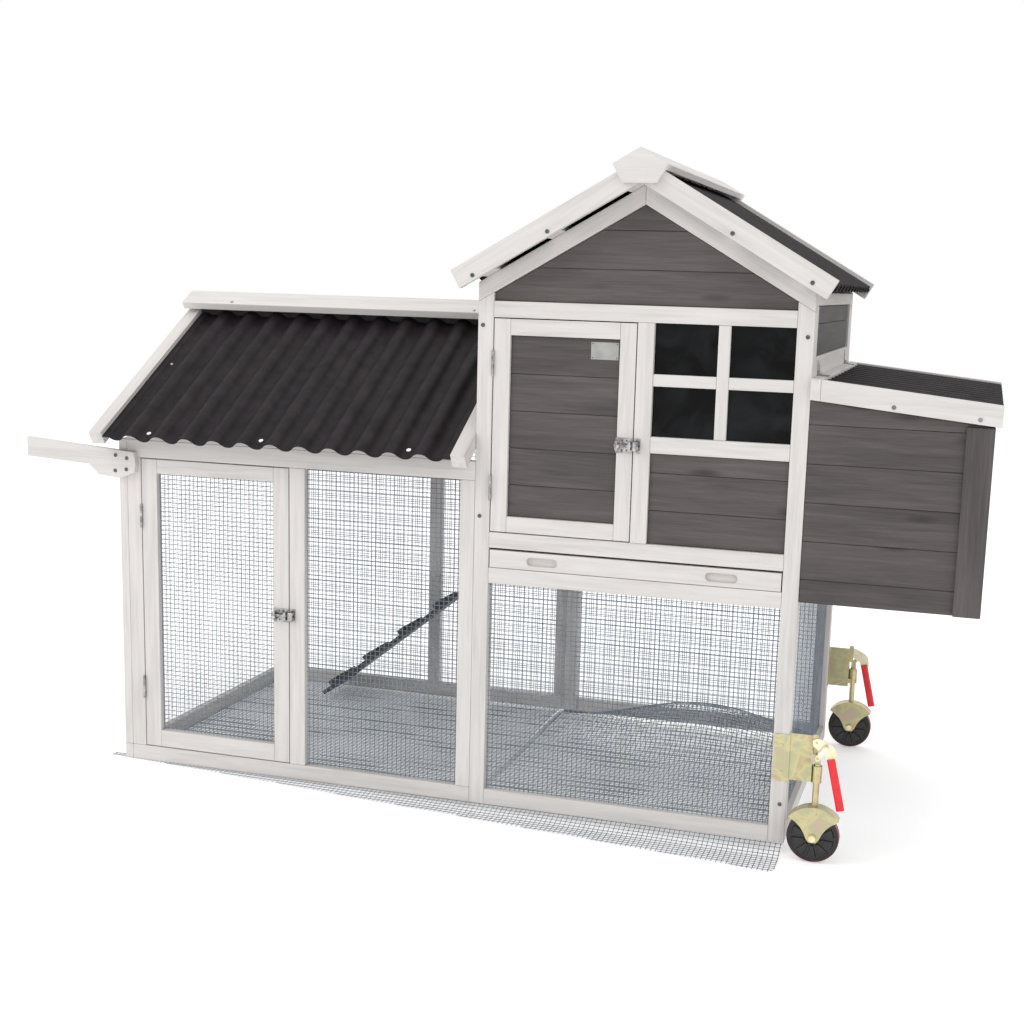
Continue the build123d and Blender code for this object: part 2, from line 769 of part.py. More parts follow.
run_door = (door_left + door_gap, mid_left - door_gap, 43.5, 847.5)
run_hinge_x = door_left + door_gap / 2
run_hinge_z = (180.0, 659.0)
run_latch_z = 453.0
house_door = (house_left + timber + door_gap, stile_left - door_gap, 724.0, 1255.5)
house_hinge_x = house_left + timber + door_gap / 2
house_hinge_z = (803.0, 1114.0)
house_latch_z = 961.0
lid_hinge = (house_right + 4.5, lid_top + 4.5)
lid_hinge_y = (110.0, 785.0)
lid_leaf = 42.0


def lid_knuckle(y0, y1, hole):
    """Knuckle of a nest lid hinge, its axis running front to back."""
    with BuildSketch(across(y1)) as outline:
        with Locations(lid_hinge):
            Circle(knuckle)
            if hole:
                Circle(pin + pin_fit, mode=Mode.SUBTRACT)
    extrude(outline.sketch, amount=y1 - y0)


with BuildPart() as hinge_fixed_leaves:
    for z0 in run_hinge_z:
        fixed_leaf(run_hinge_x, z0)
    for z0 in house_hinge_z:
        fixed_leaf(house_hinge_x, z0)
    for y0 in lid_hinge_y:
        third = lid_leaf / 3
        wall = (house_right, house_right + leaf)
        bar(*wall, y0, y0 + lid_leaf, lid_hinge[1] + 5, lid_hinge[1] + 32)
        for shift in (0.0, 2 * third):
            lid_knuckle(y0 + shift, y0 + shift + third, False)
            bar(*wall, y0 + shift, y0 + shift + third, lid_hinge[1] + 1, lid_hinge[1] + 5)
        with BuildSketch(across(y0 + 2 * third)) as outline:
            with Locations(lid_hinge):
                Circle(pin)
        extrude(outline.sketch, amount=third)
save(hinge_fixed_leaves, "hinge_fixed_leaves")

with BuildPart() as latch_keepers:
    latch_keeper(run_door[1], run_latch_z)
    latch_keeper(house_door[1], house_latch_z)
save(latch_keepers, "latch_keepers")


# ---------------------------------------------------------------- doors
def door_frame(x0, x1, z0, z1, left_stile, right_stile, low_rail, high_rail):
    """Door frame of two stiles and two rails."""
    bar(x0, x0 + left_stile, 0, stock, z0, z1)
    bar(x1 - right_stile, x1, 0, stock, z0, z1)
    inside = (x0 + left_stile + joint, x1 - right_stile - joint)
    bar(*inside, 0, stock, z0, z0 + low_rail)
    bar(*inside, 0, stock, z1 - high_rail, z1)
    return inside


with BuildPart() as run_door_frame:
    run_inside = door_frame(*run_door, 46, 44, 47, 38)
save(run_door_frame, "run_door_frame")

with BuildPart() as run_door_mesh:
    bar(*run_inside, mesh_y, mesh_y + mesh, run_door[2] + 47 + joint, run_door[3] - 38 - joint)
save(run_door_mesh, "run_door_mesh")

with BuildPart() as run_door_fittings:
    for z0 in run_hinge_z:
        moving_leaf(run_hinge_x, z0)
    latch_straps(run_door[1], run_latch_z)
save(run_door_fittings, "run_door_fittings")

with BuildPart() as run_door_bolt:
    sliding_bolt(run_door[1], run_latch_z)
save(run_door_bolt, "run_door_bolt")

with BuildPart() as house_door_frame:
    house_inside = door_frame(*house_door, 42, 40, 40, 40)
save(house_door_frame, "house_door_frame")

with BuildPart() as house_door_boards:
    door_rows = (house_door[2] + 40 + joint, house_door[3] - 40 - joint, 844.6)
    grooved_boards(*house_inside, board_front, board_front + board, *door_rows)
save(house_door_boards, "house_door_boards")

with BuildPart() as house_door_plate:
    bar(1311, 1380, board_front - 1.5, board_front, 1165, 1207)
save(house_door_plate, "house_door_plate")

with BuildPart() as house_door_fittings:
    for z0 in house_hinge_z:
        moving_leaf(house_hinge_x, z0)
    latch_straps(house_door[1], house_latch_z)
save(house_door_fittings, "house_door_fittings")

with BuildPart() as house_door_bolt:
    sliding_bolt(house_door[1], house_latch_z)
save(house_door_bolt, "house_door_bolt")

with BuildPart() as nest_lid_fittings:
    for y0 in lid_hinge_y:
        middle = (y0 + lid_leaf / 3 + joint, y0 + 2 * lid_leaf / 3 - joint)
        lid_knuckle(*middle, True)
        lid_piece(lid_hinge[0] + 3.2, lid_hinge[0] + 6, *middle, -leaf, 0)
        lid_piece(lid_hinge[0] + 6, lid_hinge[0] + 22, y0, y0 + lid_leaf, -leaf, 0)
    lid_bolts = ((2039.0, 1087.0), (2231.0, 1069.0))
    bolt_heads(across(lid_front), lid_bolts, bolt_radius, bolt_height)
    bolt_heads(across(lid_back + bolt_height), lid_bolts, bolt_radius, bolt_height)
save(nest_lid_fittings, "nest_lid_fittings")

# ---------------------------------------------------------------- pop door between house and run
pop_x = (house_left + stock + 0.6, house_left + stock + 6.6)
pop_y = (548.0, 724.0)
pop_z = (tray_rail_top + 2, pop_top + 5)

with BuildPart() as pop_door:
    bar(*pop_x, *pop_y, *pop_z)
    knob_at = Plane((left + pop_x[1], front + 640, base + 800), z_dir=(1, 0, 0))
    with BuildSketch(knob_at) as outline:
        Circle(6)
    extrude(outline.sketch, amount=18)
    with BuildSketch(knob_at.offset(18)) as outline:
        Circle(13)
    extrude(outline.sketch, amount=10)
save(pop_door, "pop_door")

with BuildPart() as pop_door_runners:
    track = (pop_y[0] - 3, depth - timber - joint)
    lip_x = (pop_x[1] + 0.6, pop_x[1] + 5.6)
    bar(*lip_x, *track, tray_rail_top + joint, tray_rail_top + 12)
    bar(*lip_x, *track, pop_z[1] - 8, pop_z[1] + 0.6)
    bar(house_left + 18 + joint, lip_x[1], *track, pop_z[1] + 0.9, pop_z[1] + 12)
save(pop_door_runners, "pop_door_runners")

# ---------------------------------------------------------------- carry handles and fixings
handle_outline = (
    (-handle_reach, 889),
    (55, 865),
    (60, 831),
    (56, 809.5),
    (12, 792),
    (-54, 797.5),
    (-84, 825),
    (-handle_reach, 836),
)
handle = 16.0

with BuildPart() as carry_handles:
    for y0 in (-handle, depth):
        panel(handle_outline, y0, y0 + handle)
save(carry_handles, "carry_handles")

post_bolts = ((1035.0, 1238.0), (1036.0, 761.0), (1832.0, 1238.0), (1831.0, 100.5))
barge_bolts = ((1025.3, 1357.7), (1211.3, 1464.7), (1653.9, 1467.9), (1842.0, 1362.0))
handle_bolts = ((0.0, 854.0), (34.0, 847.5), (-2.0, 812.0), (32.0, 817.0))

waved = sheet_width - 2 * run_flange
run_half = waved / round(2 * waved / wave_pitch)

with BuildPart() as frame_bolts:
    faces = ((0.0, post_bolts), (roof_front, barge_bolts), (-handle, handle_bolts))
    for y0, points in faces:
        bolt_heads(across(y0), points, bolt_radius, bolt_height)
    faces = ((depth, post_bolts), (roof_rear, barge_bolts), (depth + handle, handle_bolts))
    for y0, points in faces:
        bolt_heads(across(y0 + bolt_height), points, bolt_radius, bolt_height)
    for side in (-1, 1):
        for i in (1, 5, 10):
            trough_x = sheet_x0 + run_flange + (2 * i + 0.5) * run_half
            y, z = run_point(run_slope - 32, rafter_top + sheet + 1.4, side)
            head = Plane(
                (left + trough_x, front + y, base + z),
                z_dir=(0, side * sin(radians(run_pitch)), cos(radians(run_pitch))),
            )
            with BuildSketch(head) as outline:
                Circle(6)
            extrude(outline.sketch, amount=3.5)
save(frame_bolts, "frame_bolts")

# ---------------------------------------------------------------- drop-down wheel sets
plate = 2.0
rod_radius = 8.0
sleeve_bore = 8.3
sleeve_radius = 12.5
sleeve_z = (174.0, 216.0)
rod_top = 221.0
fork_pin = (wheel_x, 235.0)
lever_pin = (wheel_x - 5, 272.0)
link_pin = (wheel_x + 18, 262.0)
grip_start = (1949.0, 234.0)
grip_end = (1979.0, 108.0)
lever_blade = (
    (1903, 276),
    (1912, 282),
    (1926, 280),
    (1950, 268),
    (1961, 256),
    (1964, 228),
    (1940, 226),
    (1936, 240),
    (1922, 250),
    (1905, 262),
)
tread_width = 27.0
hub_radius = 57.0
axle_radius = 6.0
hood_radius = 77.0
hood_half = 19.0
cheek_edge = ((9, -12), (16, -3), (22, 11), (31, 25), (44, 37))
lever_layer = (3.5, 6.5)     # behind the rod's centre plane
link_layer = (-7.5, -4.5)    # in front of it


def mirrored(y, rear):
    """Depth position of a wheel set piece, mirrored for the rear set."""
    return depth - y if rear else y


def wheel_bar(x0, x1, y0, y1, z0, z1, rear):
    """Square-cut piece of a wheel set."""
    ends = sorted((mirrored(y0, rear), mirrored(y1, rear)))
    bar(x0, x1, *ends, z0, z1)


def wheel_disc(centre, outer, inner, y0, y1, rear):
    """Round piece of a wheel set with its axis front to back."""
    ends = sorted((mirrored(y0, rear), mirrored(y1, rear)))
    with BuildSketch(across(ends[1])) as outline:
        with Locations(centre):
            Circle(outer)
            if inner:
                Circle(inner, mode=Mode.SUBTRACT)
    extrude(outline.sketch, amount=ends[1] - ends[0])


def wheel_plate(points, y0, y1, rear, hole=None):
    """Flat piece of a wheel set with an outline in the XZ plane and one optional pin hole."""
    ends = sorted((mirrored(y0, rear), mirrored(y1, rear)))
    with BuildSketch(across(ends[1])) as outline:
        with BuildLine():
            Polyline(*points, close=True)
        make_face()
        if hole:
            with Locations(hole):
                Circle(3 + pin_fit, mode=Mode.SUBTRACT)
    extrude(outline.sketch, amount=ends[1] - ends[0])


def strap(start, end, width, holes, y0, y1, rear):
    """Round-ended strap between two pins, with a running hole at each one listed."""
    ends = sorted((mirrored(y0, rear), mirrored(y1, rear)))
    length = ((end[0] - start[0]) ** 2 + (end[1] - start[1]) ** 2) ** 0.5
    across_x = -(end[1] - start[1]) / length * width / 2
    across_z = (end[0] - start[0]) / length * width / 2
    with BuildSketch(across(ends[1])) as outline:
        with BuildLine():
            Polyline(
                (start[0] + across_x, start[1] + across_z),
                (end[0] + across_x, end[1] + across_z),
                (end[0] - across_x, end[1] - across_z),
                (start[0] - across_x, start[1] - across_z),
                close=True,
            )
        make_face()
        with Locations(start, end):
            Circle(width / 2)
        for hole in holes:
            with Locations(hole):
                Circle(3 + pin_fit, mode=Mode.SUBTRACT)
    extrude(outline.sketch, amount=ends[1] - ends[0])


def wheel_post(x, y, z0, z1, outer, inner, rear):
    """Vertical round piece of a wheel set."""
    with BuildSketch(upright(x, mirrored(y, rear), z0)) as outline:
        Circle(outer)
        if inner:
            Circle(inner, mode=Mode.SUBTRACT)
    extrude(outline.sketch, amount=z1 - z0)


for name, rear in (("front", False), ("rear", True)):
    with BuildPart() as wheel_bracket:
        wheel_bar(1809, house_right, -plate, 0, 162, 280, rear)
        wheel_bar(house_right, house_right + plate, -plate, stock, 166, 284, rear)
        wheel_bar(house_right + plate, 1906, 2, 2 + plate, 166, 284, rear)
        wheel_bar(1904, 1906, wheel_y - 12, 2, 176, 256, rear)
        wheel_bar(1906, 1914, wheel_y + 8.6, 2, 176, 190, rear)
        wheel_bar(1904, 1916, wheel_y + 8.6, wheel_y + 12, 240, 290, rear)
        wheel_post(wheel_x, wheel_y, *sleeve_z, sleeve_radius, sleeve_bore, rear)
        wheel_disc(lever_pin, 3, 0, wheel_y + 3.3, wheel_y + 9, rear)
        for z in (183.0, 251.0):
            wheel_disc((1828, z), 5, 0, -plate - 2, -plate, rear)
    save(wheel_bracket, f"{name}_wheel_bracket")

    with BuildPart() as wheel_lever:
        y0 = wheel_y + lever_layer[0]
        y1 = wheel_y + lever_layer[1]
        wheel_plate(lever_blade, y0, y1, rear, hole=lever_pin)
        strap((1950, 236), (1976, 120), 10, [], y0, y1, rear)
        for point in ((1948, 252), (1950, 240)):
            wheel_disc(point, 3, 0, y0 - 1.2, y0, rear)
    save(wheel_lever, f"{name}_wheel_lever")

    with BuildPart() as wheel_grip:
        length = ((grip_end[0] - grip_start[0]) ** 2 + (grip_end[1] - grip_start[1]) ** 2) ** 0.5
        centre_y = mirrored(wheel_y + 5, rear)
        run = (grip_end[0] - grip_start[0]) / length
        fall = (grip_end[1] - grip_start[1]) / length
        grip_plane = Plane(
            (left + grip_start[0], front + centre_y, base + grip_start[1]),
            x_dir=(0, 1, 0),
            z_dir=(run, 0, fall),
        )
        with BuildSketch(grip_plane) as outline:
            RectangleRounded(14, 20, 6)
        extrude(outline.sketch, amount=length)
    save(wheel_grip, f"{name}_wheel_grip")

    with BuildPart() as wheel_link:
        y0 = wheel_y + link_layer[0]
        y1 = wheel_y + link_layer[1]
        strap(fork_pin, link_pin, 12, [fork_pin], y0, y1, rear)
        wheel_disc(link_pin, 4, 0, y0 - 2, wheel_y + lever_layer[0] - 1.8, rear)
    save(wheel_link, f"{name}_wheel_link")

    with BuildPart() as wheel_plunger:
        top = axle_z + hood_radius
        wheel_post(wheel_x, wheel_y, top - 2, rod_top, rod_radius, 0, rear)
        wheel_bar(wheel_x - 7, wheel_x + 7, wheel_y - 4, wheel_y + 3, rod_top, fork_pin[1] + 8, rear)
        wheel_disc(fork_pin, 3, 0, wheel_y - 9, wheel_y - 3.5, rear)
        arc = [(cos(radians(a)), sin(radians(a))) for a in range(38, 143, 8)]
        crown = [(wheel_x + hood_radius * c, axle_z + hood_radius * s) for c, s in arc]
        under = [(wheel_x + (hood_radius - 2) * c, axle_z + (hood_radius - 2) * s) for c, s in arc]
        wheel_plate(crown + under[::-1], wheel_y - hood_half, wheel_y + hood_half, rear)
        for y0 in (-hood_half, hood_half - 2):
            left_side = [(wheel_x - x, axle_z + z) for x, z in reversed(cheek_edge)]
            right_side = [(wheel_x + x, axle_z + z) for x, z in cheek_edge]
            cheek = under + left_side + right_side
            wheel_plate(cheek, wheel_y + y0, wheel_y + y0 + 2, rear)
        axle = (wheel_x, axle_z)
        wheel_disc(axle, axle_radius, 0, wheel_y - 25, wheel_y + 25, rear)
        wheel_disc(axle, 10, 0, wheel_y - 24, wheel_y - hood_half, rear)
        wheel_disc(axle, 10, 0, wheel_y + hood_half, wheel_y + 24, rear)
    save(wheel_plunger, f"{name}_wheel_plunger")

    with BuildPart() as wheel_hub:
        axle = (wheel_x, axle_z)
        half = tread_width / 2
        wheel_disc(axle, hub_radius, axle_radius + pin_fit, wheel_y - half + 2, wheel_y + half - 2, rear)
        wheel_disc(axle, 16, axle_radius + pin_fit, wheel_y - 16, wheel_y + 16, rear)
    save(wheel_hub, f"{name}_wheel_hub")

    with BuildPart() as wheel_tread:
        wheel_disc(axle, wheel_radius, hub_radius, wheel_y - half, wheel_y + half, rear)
        tread_edges = wheel_tread.edges().filter_by(GeomType.CIRCLE).sort_by(SortBy.RADIUS)[-2:]
        fillet(tread_edges, radius=4)
    save(wheel_tread, f"{name}_wheel_tread")
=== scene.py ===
import json
import math
import random

import bmesh
import bpy
import numpy as np
from mathutils import Matrix, Vector

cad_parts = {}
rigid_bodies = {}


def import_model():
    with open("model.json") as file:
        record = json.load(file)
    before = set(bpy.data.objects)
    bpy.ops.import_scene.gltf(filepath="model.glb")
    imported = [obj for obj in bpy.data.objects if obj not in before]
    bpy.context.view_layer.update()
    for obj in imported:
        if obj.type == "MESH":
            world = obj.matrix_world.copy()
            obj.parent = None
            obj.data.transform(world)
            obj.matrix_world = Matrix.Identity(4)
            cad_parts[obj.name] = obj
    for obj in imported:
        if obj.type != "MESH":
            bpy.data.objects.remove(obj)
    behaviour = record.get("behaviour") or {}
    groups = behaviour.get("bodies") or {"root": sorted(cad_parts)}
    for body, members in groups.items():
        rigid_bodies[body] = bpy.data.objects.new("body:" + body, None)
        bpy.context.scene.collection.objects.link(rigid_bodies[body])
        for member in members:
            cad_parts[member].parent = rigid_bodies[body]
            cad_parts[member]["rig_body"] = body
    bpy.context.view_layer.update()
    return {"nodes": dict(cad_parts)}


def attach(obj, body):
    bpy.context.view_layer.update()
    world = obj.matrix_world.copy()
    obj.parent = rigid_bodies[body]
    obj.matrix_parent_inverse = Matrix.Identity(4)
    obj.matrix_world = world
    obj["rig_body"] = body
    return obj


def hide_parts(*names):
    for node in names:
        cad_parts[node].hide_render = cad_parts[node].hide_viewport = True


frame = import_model()
nodes = frame["nodes"]
rng = random.Random(7)

# Drawing coordinates: millimetres from the run's left end, the front face and the frame's underside.
LEFT, FRONT, BASE = -1001.5, -450.0, 25.5
DEPTH = 938.0            # front face to back face of the timber frame
HOUSE_LEFT = 1022.0      # the run ends and the house starts here
WHEEL_X = 1918.0         # wheel axle, along the coop
AXLE_Z = 38.0            # wheel axle, above the frame's underside
ROOF_SLOPE = math.radians(31)


def at(x, y, z):
    """Frame position, in metres, of a place given in drawing coordinates."""
    return Vector(((LEFT + x) / 1000, (FRONT + y) / 1000, (BASE + z) / 1000))


# ------------------------------------------------------------------ materials
class Shader:
    """A principled material with a few short-hands for its nodes."""

    def __init__(self, name, rough=0.6, metal=0.0):
        self.mat = bpy.data.materials.new(name)
        self.mat.use_nodes = True
        self.tree = self.mat.node_tree
        self.bsdf = self.tree.nodes["Principled BSDF"]
        self.bsdf.inputs["Roughness"].default_value = rough
        self.bsdf.inputs["Metallic"].default_value = metal

    def add(self, kind, **values):
        n = self.tree.nodes.new(kind)
        for key, value in values.items():
            if key in n.inputs:
                n.inputs[key].default_value = value
            else:
                setattr(n, key, value)
        return n

    def link(self, a, b):
        self.tree.links.new(a, b)

    def coords(self, attribute=None, scale=(1, 1, 1)):
        if attribute:
            source = self.add("ShaderNodeAttribute", attribute_name=attribute).outputs["Vector"]
        else:
            source = self.add("ShaderNodeTexCoord").outputs["Object"]
        m = self.add("ShaderNodeMapping")
        m.inputs["Scale"].default_value = scale
        self.link(source, m.inputs["Vector"])
        return m.outputs["Vector"]

    def noise(self, vector, scale, detail=4.0, rough=0.55, distortion=0.0):
        n = self.add("ShaderNodeTexNoise")
        n.inputs["Scale"].default_value = scale
        n.inputs["Detail"].default_value = detail
        n.inputs["Roughness"].default_value = rough
        n.inputs["Distortion"].default_value = distortion
        self.link(vector, n.inputs["Vector"])
        return n.outputs["Fac"]

    def ramp(self, fac, stops):
        r = self.add("ShaderNodeValToRGB")
        e = r.color_ramp.elements
        e[0].position, e[0].color = stops[0][0], (*stops[0][1], 1)
        e[1].position, e[1].color = stops[-1][0], (*stops[-1][1], 1)
        for pos, col in stops[1:-1]:
            new = e.new(pos)
            new.color = (*col, 1)
        self.link(fac, r.inputs["Fac"])
        return r.outputs["Color"]

    def mix(self, fac, a, b, mode="MIX"):
        m = self.tree.nodes.new("ShaderNodeMix")
        m.data_type = "RGBA"
        m.blend_type = mode
        sockets = {"f": m.inputs[0], "a": m.inputs[6], "b": m.inputs[7]}
        for key, value in (("f", fac), ("a", a), ("b", b)):
            if isinstance(value, bpy.types.NodeSocket):
                self.link(value, sockets[key])
            elif key == "f":
                sockets[key].default_value = value
            else:
                sockets[key].default_value = (*value, 1)
        return m.outputs[2]

    def color(self, socket):
        self.link(socket, self.bsdf.inputs["Base Color"])

    def bump(self, height, strength, distance=0.001):
        b = self.add("ShaderNodeBump")
        b.inputs["Strength"].default_value = strength
        b.inputs["Distance"].default_value = distance
        self.link(height, b.inputs["Height"])
        self.link(b.outputs["Normal"], self.bsdf.inputs["Normal"])


def timber_material(name, dark, mid, light, rough, grain, knots, patches=0.25):
    """Painted or stained softwood: streaks along the grain, a few knots and a soft variation between boards."""
    s = Shader(name, rough)
    long = s.coords("grain", (4, 70, 70))
    fine = s.coords("grain", (12, 420, 420))
    wide = s.coords("grain", (1.6, 9, 9))
    streak = s.noise(long, 1.0, 5, 0.6, 0.6)
    thread = s.noise(fine, 1.0, 3, 0.6)
    patch = s.noise(wide, 1.0, 3, 0.5)
    base = s.ramp(streak, [(0.30, dark), (0.52, mid), (0.72, light)])
    toned = s.mix(grain, base, s.ramp(thread, [(0.35, dark), (0.65, light)]))
    toned = s.mix(patches, toned, s.ramp(patch, [(0.3, dark), (0.7, light)]))
    v = s.add("ShaderNodeTexVoronoi")
    v.inputs["Scale"].default_value = 1.0
    s.link(s.coords("grain", (3.1, 13, 13)), v.inputs["Vector"])
    knot = s.ramp(v.outputs["Distance"], [(0.05, (1, 1, 1)), (0.17, (0, 0, 0))])
    strength = s.add("ShaderNodeMath", operation="MULTIPLY")
    s.link(knot, strength.inputs[0])
    strength.inputs[1].default_value = knots
    toned = s.mix(strength.outputs[0], toned, [c * 0.45 for c in dark])
    s.color(toned)
    s.bump(thread, 0.25, 0.0008)
    return s.mat


def metal_material(name, colours, rough, metal, scale=30.0):
    """Metal or coated wire: a cloudy run through the colours, with a very fine grain."""
    s = Shader(name, rough, metal)
    fac = s.noise(s.coords(), scale, 3, 0.5, 0.8)
    step = 0.4 / (len(colours) - 1)
    s.color(s.ramp(fac, [(0.3 + i * step, c) for i, c in enumerate(colours)]))
    fine = s.noise(s.coords(), scale * 14, 2, 0.5)
    s.bump(fine, 0.06, 0.0004)
    return s.mat


def plain_material(name, dark, light, rough, scale=60.0, bump=0.1, shine=0.5):
    """Even surface between two close tones."""
    s = Shader(name, rough)
    s.bsdf.inputs["Specular IOR Level"].default_value = shine
    fac = s.noise(s.coords(), scale, 4, 0.6)
    s.color(s.ramp(fac, [(0.3, dark), (0.7, light)]))
    s.bump(s.noise(s.coords(), scale * 6, 2), bump, 0.0005)
    return s.mat


WHITE = timber_material("white_paint", (0.50, 0.475, 0.455), (0.61, 0.585, 0.565), (0.67, 0.645, 0.625),
                        0.7, 0.14, 0.08)
# grey stain, with its tones darkened to about half as painted shade from the roof overhang
GREY_STAIN_AND_SHADE = timber_material("grey_stain_and_shade", (0.028, 0.024, 0.023), (0.068, 0.059, 0.057), (0.118, 0.104, 0.100),
                       0.7, 0.32, 0.85, 0.42)
RAMP = timber_material("ramp_stain", (0.035, 0.031, 0.031), (0.055, 0.05, 0.05), (0.085, 0.077, 0.075),
                       0.65, 0.25, 0.2)
BARE = timber_material("bare_timber", (0.40, 0.31, 0.21), (0.52, 0.42, 0.30), (0.62, 0.52, 0.39),
                       0.65, 0.3, 0.4)
ROOF = plain_material("roof_sheet", (0.009, 0.006, 0.008), (0.022, 0.017, 0.020), 0.6, 25, 0.15, 0.16)
STEEL = metal_material("bright_steel", [(0.16, 0.16, 0.17), (0.36, 0.35, 0.35), (0.58, 0.56, 0.54)], 0.30, 0.9, 60)
SCREW = metal_material("screw_steel", [(0.07, 0.08, 0.09), (0.15, 0.16, 0.18)], 0.42, 0.7)
LID_STEEL = metal_material("hinge_steel", [(0.16, 0.17, 0.19), (0.32, 0.34, 0.37)], 0.38, 0.8)
WIRE = metal_material("mesh_wire", [(0.10, 0.13, 0.17), (0.16, 0.20, 0.25), (0.24, 0.28, 0.33)], 0.55, 0.1, 9)
# lighter copy of the mesh wire for the back wall: painted light
BACK_WIRE_PAINTED_LIGHT = metal_material("back_mesh_wire_painted_light", [(0.30, 0.35, 0.42), (0.40, 0.46, 0.54)], 0.55, 0.1, 9)
FLOOR_WIRE = metal_material("floor_wire", [(0.15, 0.175, 0.20), (0.25, 0.275, 0.30)], 0.5, 0.2, 9)
TRAY = metal_material("tray_metal", [(0.55, 0.56, 0.58), (0.68, 0.69, 0.70)], 0.35, 0.85)
ZINC = metal_material("yellow_zinc", [(0.46, 0.34, 0.25), (0.52, 0.44, 0.25), (0.60, 0.54, 0.31), (0.47, 0.47, 0.28),
                                      (0.54, 0.41, 0.33)], 0.34, 0.85, 22)
PALE_ZINC = metal_material("lever_zinc", [(0.74, 0.66, 0.36), (0.86, 0.80, 0.58), (0.84, 0.76, 0.68)],
                           0.32, 0.7, 40)
GRIP = plain_material("red_grip", (0.66, 0.012, 0.020), (0.80, 0.022, 0.032), 0.35, 80, 0.06)
HUB = plain_material("wheel_black", (0.008, 0.008, 0.009), (0.020, 0.020, 0.021), 0.34, 40, 0.08)
PLATE = metal_material("blank_plate", [(0.30, 0.30, 0.30), (0.40, 0.40, 0.39)], 0.4, 0.5)


def bolt_material():
    """Bolts: dark steel, with a painted highlight in near-white between the run's two ends, where they are the roof
    screws.
    """
    s = Shader("bolt_steel_and_highlight", 0.35, 0.85)
    split = s.add("ShaderNodeSeparateXYZ")
    s.link(s.coords(), split.inputs[0])
    tone = s.ramp(s.noise(s.coords(), 90, 2), [(0.3, (0.06, 0.07, 0.08)), (0.7, (0.15, 0.16, 0.18))])
    low = s.add("ShaderNodeMath", operation="GREATER_THAN")
    low.inputs[1].default_value = (LEFT + 90) / 1000
    high = s.add("ShaderNodeMath", operation="LESS_THAN")
    high.inputs[1].default_value = (LEFT + 985) / 1000
    highlight_mask = s.add("ShaderNodeMath", operation="MULTIPLY")
    s.link(split.outputs["X"], low.inputs[0])
    s.link(split.outputs["X"], high.inputs[0])
    s.link(low.outputs[0], highlight_mask.inputs[0])
    s.link(high.outputs[0], highlight_mask.inputs[1])
    # near-white painted highlight on the roof screws between the run's two ends
    s.color(s.mix(highlight_mask.outputs[0], tone, (0.95, 0.94, 0.92)))
    return s.mat


def tread_material():
    """Tread: red on the rolling face, black on the sides."""
    s = Shader("wheel_tread", 0.42)
    geometry = s.add("ShaderNodeNewGeometry")
    split = s.add("ShaderNodeSeparateXYZ")
    s.link(geometry.outputs["Normal"], split.inputs[0])
    side = s.add("ShaderNodeMath", operation="ABSOLUTE")
    s.link(split.outputs["Y"], side.inputs[0])
    red = s.ramp(s.noise(s.coords(), 50, 3), [(0.3, (0.16, 0.006, 0.012)), (0.7, (0.26, 0.010, 0.018))])
    rim = s.ramp(side.outputs[0], [(0.45, (0, 0, 0)), (0.75, (1, 1, 1))])
    s.color(s.mix(rim, red, (0.014, 0.012, 0.013)))
    return s.mat


def glass_material():
    """Window pane painted near-black as painted shade of the house's inside, with nothing behind it to be seen."""
    s = Shader("window_pane", 0.12)
    fac = s.noise(s.coords(), 7, 3, 0.5, 1.2)
    s.color(s.ramp(fac, [(0.40, (0.0015, 0.0015, 0.0018)), (0.65, (0.010, 0.011, 0.012))]))
    s.bsdf.inputs["Specular IOR Level"].default_value = 0.12
    return s.mat


GLASS = glass_material()
BOLT = bolt_material()
TREAD = tread_material()


# ------------------------------------------------------------------ helpers
def make(name, bm, mat, body, smooth=False):
    """Object from a bmesh, riding on a CAD body."""
    me = bpy.data.meshes.new(name)
    bm.to_mesh(me)
    bm.free()
    me.materials.append(mat)
    for p in me.polygons:
        p.use_smooth = smooth
    o = bpy.data.objects.new(name, me)
    bpy.context.scene.collection.objects.link(o)
    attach(o, body)
    return o


def islands(bm):
    """Vertex lists of the separate solids in a bmesh."""
    seen, found = set(), []
    for v in bm.verts:
        if v in seen:
            continue
        stack, group = [v], []
        seen.add(v)
        while stack:
            w = stack.pop()
            group.append(w)
            for e in w.link_edges:
                other = e.other_vert(w)
                if other not in seen:
                    seen.add(other)
                    stack.append(other)
        found.append(group)
    return found


def node_bmesh(node):
    """CAD node's mesh with its shared corners joined."""
    bm = bmesh.new()
    bm.from_mesh(nodes[node].data)
    bmesh.ops.remove_doubles(bm, verts=bm.verts, dist=2e-6)
    return bm


